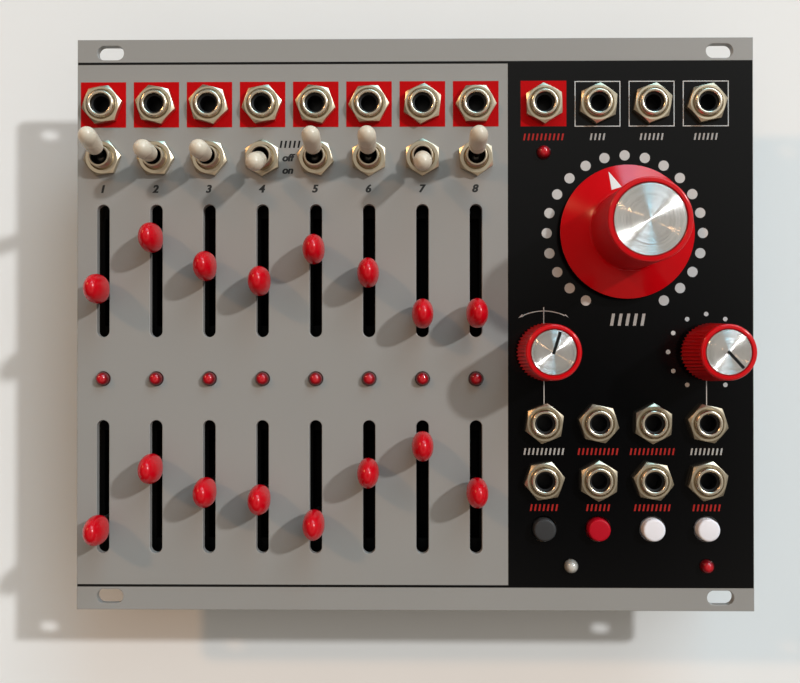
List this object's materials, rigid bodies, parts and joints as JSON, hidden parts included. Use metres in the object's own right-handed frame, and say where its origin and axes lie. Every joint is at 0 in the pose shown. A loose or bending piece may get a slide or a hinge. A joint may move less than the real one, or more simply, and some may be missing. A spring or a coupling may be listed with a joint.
{
  "type": "eurorack module",
  "caption": "Rack synthesizer module: flat panel with jack sockets, toggle switches, two banks of slide controls, rotary knobs, push buttons and lamps, over a circuit board.",
  "frame": {"origin": "under the centre of the panel, on the surface that the rear side's tall capacitors stand on", "axes": "+X to the right of the panel, +Y to its top edge, +Z out of its front face"},
  "size_m": [0.152, 0.1284, 0.0498],
  "materials": {
    "anodised_panel": "satin anodised, with printed black field",
    "circuit_board": "solder mask over glass fibre, black socket bodies",
    "black_plastic": "moulded",
    "bright_nickel": "bright nickel plate",
    "red_gloss": "moulded, glossy",
    "white_lever": "moulded, semi-gloss",
    "spun_aluminium": "spun, concentric brushing",
    "led_red": "tinted epoxy, unlit",
    "led_clear": "clear epoxy, unlit",
    "grey_key": "moulded, satin",
    "red_key": "moulded, satin",
    "white_key": "moulded, satin",
    "can_sleeve": "shrink sleeve on an aluminium can",
    "trimmer_blue": "moulded",
    "brass": "bright"
  },
  "bodies": {
    "root": {"front_panel": "anodised_panel", "main_board": "circuit_board", "power_header": "black_plastic", "electrolytic_can_1": "can_sleeve", "electrolytic_can_2": "can_sleeve", "electrolytic_can_3": "can_sleeve", "electrolytic_can_4": "can_sleeve", "led_step_1": "led_red", "led_step_2": "led_red", "led_step_3": "led_red", "led_step_4": "led_red", "led_step_5": "led_red", "led_step_6": "led_red", "led_step_7": "led_red", "led_step_8": "led_red", "led_top": "led_red", "led_foot": "led_red", "led_clear": "led_clear", "large_pot": "black_plastic", "left_pot": "black_plastic", "right_pot": "black_plastic", "trimmer_1": "trimmer_blue", "trimmer_2": "trimmer_blue"},
    "slider_upper_1": {"slider_upper_1": "red_gloss"},
    "slider_upper_2": {"slider_upper_2": "red_gloss"},
    "slider_upper_3": {"slider_upper_3": "red_gloss"},
    "slider_upper_4": {"slider_upper_4": "red_gloss"},
    "slider_upper_5": {"slider_upper_5": "red_gloss"},
    "slider_upper_6": {"slider_upper_6": "red_gloss"},
    "slider_upper_7": {"slider_upper_7": "red_gloss"},
    "slider_upper_8": {"slider_upper_8": "red_gloss"},
    "slider_lower_1": {"slider_lower_1": "red_gloss"},
    "slider_lower_2": {"slider_lower_2": "red_gloss"},
    "slider_lower_3": {"slider_lower_3": "red_gloss"},
    "slider_lower_4": {"slider_lower_4": "red_gloss"},
    "slider_lower_5": {"slider_lower_5": "red_gloss"},
    "slider_lower_6": {"slider_lower_6": "red_gloss"},
    "slider_lower_7": {"slider_lower_7": "red_gloss"},
    "slider_lower_8": {"slider_lower_8": "red_gloss"},
    "toggle_lever_1": {"toggle_lever_1": "white_lever"},
    "toggle_lever_2": {"toggle_lever_2": "white_lever"},
    "toggle_lever_3": {"toggle_lever_3": "white_lever"},
    "toggle_lever_4": {"toggle_lever_4": "white_lever"},
    "toggle_lever_5": {"toggle_lever_5": "white_lever"},
    "toggle_lever_6": {"toggle_lever_6": "white_lever"},
    "toggle_lever_7": {"toggle_lever_7": "white_lever"},
    "toggle_lever_8": {"toggle_lever_8": "white_lever"},
    "large_knob": {"large_knob": "red_gloss", "large_inlay": "spun_aluminium", "large_shaft": "bright_nickel"},
    "left_knob": {"left_knob": "red_gloss", "left_inlay": "spun_aluminium", "left_shaft": "bright_nickel"},
    "right_knob": {"right_knob": "red_gloss", "right_inlay": "spun_aluminium", "right_shaft": "bright_nickel"},
    "button_1": {"button_1": "grey_key"},
    "button_2": {"button_2": "red_key"},
    "button_3": {"button_3": "white_key"},
    "button_4": {"button_4": "white_key"}
  },
  "joints": [
    {"name": "slider_upper_1_slide", "type": "slide", "parent": "root", "child": "slider_upper_1", "axis": [0, 1, 0], "range_m": [-0.0057, 0.0143]},
    {"name": "slider_upper_2_slide", "type": "slide", "parent": "root", "child": "slider_upper_2", "axis": [0, 1, 0], "range_m": [-0.017, 0.003]},
    {"name": "slider_upper_3_slide", "type": "slide", "parent": "root", "child": "slider_upper_3", "axis": [0, 1, 0], "range_m": [-0.0107, 0.0093]},
    {"name": "slider_upper_4_slide", "type": "slide", "parent": "root", "child": "slider_upper_4", "axis": [0, 1, 0], "range_m": [-0.0074, 0.0126]},
    {"name": "slider_upper_5_slide", "type": "slide", "parent": "root", "child": "slider_upper_5", "axis": [0, 1, 0], "range_m": [-0.0144, 0.0056]},
    {"name": "slider_upper_6_slide", "type": "slide", "parent": "root", "child": "slider_upper_6", "axis": [0, 1, 0], "range_m": [-0.0092, 0.0108]},
    {"name": "slider_upper_7_slide", "type": "slide", "parent": "root", "child": "slider_upper_7", "axis": [0, 1, 0], "range_m": [-0.0002, 0.0198]},
    {"name": "slider_upper_8_slide", "type": "slide", "parent": "root", "child": "slider_upper_8", "axis": [0, 1, 0], "range_m": [-0.0003, 0.0197]},
    {"name": "slider_lower_1_slide", "type": "slide", "parent": "root", "child": "slider_lower_1", "axis": [0, 1, 0], "range_m": [-0.001, 0.019]},
    {"name": "slider_lower_2_slide", "type": "slide", "parent": "root", "child": "slider_lower_2", "axis": [0, 1, 0], "range_m": [-0.0146, 0.0054]},
    {"name": "slider_lower_3_slide", "type": "slide", "parent": "root", "child": "slider_lower_3", "axis": [0, 1, 0], "range_m": [-0.0094, 0.0106]},
    {"name": "slider_lower_4_slide", "type": "slide", "parent": "root", "child": "slider_lower_4", "axis": [0, 1, 0], "range_m": [-0.0078, 0.0122]},
    {"name": "slider_lower_5_slide", "type": "slide", "parent": "root", "child": "slider_lower_5", "axis": [0, 1, 0], "range_m": [-0.0023, 0.0177]},
    {"name": "slider_lower_6_slide", "type": "slide", "parent": "root", "child": "slider_lower_6", "axis": [0, 1, 0], "range_m": [-0.0137, 0.0063]},
    {"name": "slider_lower_7_slide", "type": "slide", "parent": "root", "child": "slider_lower_7", "axis": [0, 1, 0], "range_m": [-0.0196, 0.0004]},
    {"name": "slider_lower_8_slide", "type": "slide", "parent": "root", "child": "slider_lower_8", "axis": [0, 1, 0], "range_m": [-0.0094, 0.0106]},
    {"name": "toggle_1_tilt", "type": "hinge", "parent": "root", "child": "toggle_lever_1", "pos_m": [-0.0701, 0.03735, 0.0254], "axis": [1, 0, 0], "range_deg": [0, 30]},
    {"name": "toggle_2_tilt", "type": "hinge", "parent": "root", "child": "toggle_lever_2", "pos_m": [-0.0581, 0.03735, 0.0254], "axis": [1, 0, 0], "range_deg": [-15, 15]},
    {"name": "toggle_3_tilt", "type": "hinge", "parent": "root", "child": "toggle_lever_3", "pos_m": [-0.0461, 0.03735, 0.0254], "axis": [1, 0, 0], "range_deg": [-15, 15]},
    {"name": "toggle_4_tilt", "type": "hinge", "parent": "root", "child": "toggle_lever_4", "pos_m": [-0.0341, 0.03735, 0.0254], "axis": [1, 0, 0], "range_deg": [-30, 0]},
    {"name": "toggle_5_tilt", "type": "hinge", "parent": "root", "child": "toggle_lever_5", "pos_m": [-0.0221, 0.03735, 0.0254], "axis": [1, 0, 0], "range_deg": [0, 30]},
    {"name": "toggle_6_tilt", "type": "hinge", "parent": "root", "child": "toggle_lever_6", "pos_m": [-0.0101, 0.03735, 0.0254], "axis": [1, 0, 0], "range_deg": [0, 30]},
    {"name": "toggle_7_tilt", "type": "hinge", "parent": "root", "child": "toggle_lever_7", "pos_m": [0.0019, 0.03735, 0.0254], "axis": [1, 0, 0], "range_deg": [-30, 0]},
    {"name": "toggle_8_tilt", "type": "hinge", "parent": "root", "child": "toggle_lever_8", "pos_m": [0.0139, 0.03735, 0.0254], "axis": [1, 0, 0], "range_deg": [0, 30]},
    {"name": "large_knob_turn", "type": "hinge", "parent": "root", "child": "large_knob", "pos_m": [0.04725, 0.02035, 0.0244], "axis": [0, 0, 1], "range_deg": [-168, 132]},
    {"name": "left_knob_turn", "type": "hinge", "parent": "root", "child": "left_knob", "pos_m": [0.0291, -0.0063, 0.0244], "axis": [0, 0, 1], "range_deg": [-132.2, 167.8]},
    {"name": "right_knob_turn", "type": "hinge", "parent": "root", "child": "right_knob", "pos_m": [0.0654, -0.0063, 0.0244], "axis": [0, 0, 1], "range_deg": [-12.7, 287.3]},
    {"name": "button_1_press", "type": "slide", "parent": "root", "child": "button_1", "axis": [0, 0, -1], "range_m": [0, 0.0005], "stiffness_N_per_m": 400},
    {"name": "button_2_press", "type": "slide", "parent": "root", "child": "button_2", "axis": [0, 0, -1], "range_m": [0, 0.0005], "stiffness_N_per_m": 400},
    {"name": "button_3_press", "type": "slide", "parent": "root", "child": "button_3", "axis": [0, 0, -1], "range_m": [0, 0.0005], "stiffness_N_per_m": 400},
    {"name": "button_4_press", "type": "slide", "parent": "root", "child": "button_4", "axis": [0, 0, -1], "range_m": [0, 0.0005], "stiffness_N_per_m": 400}
  ]
}
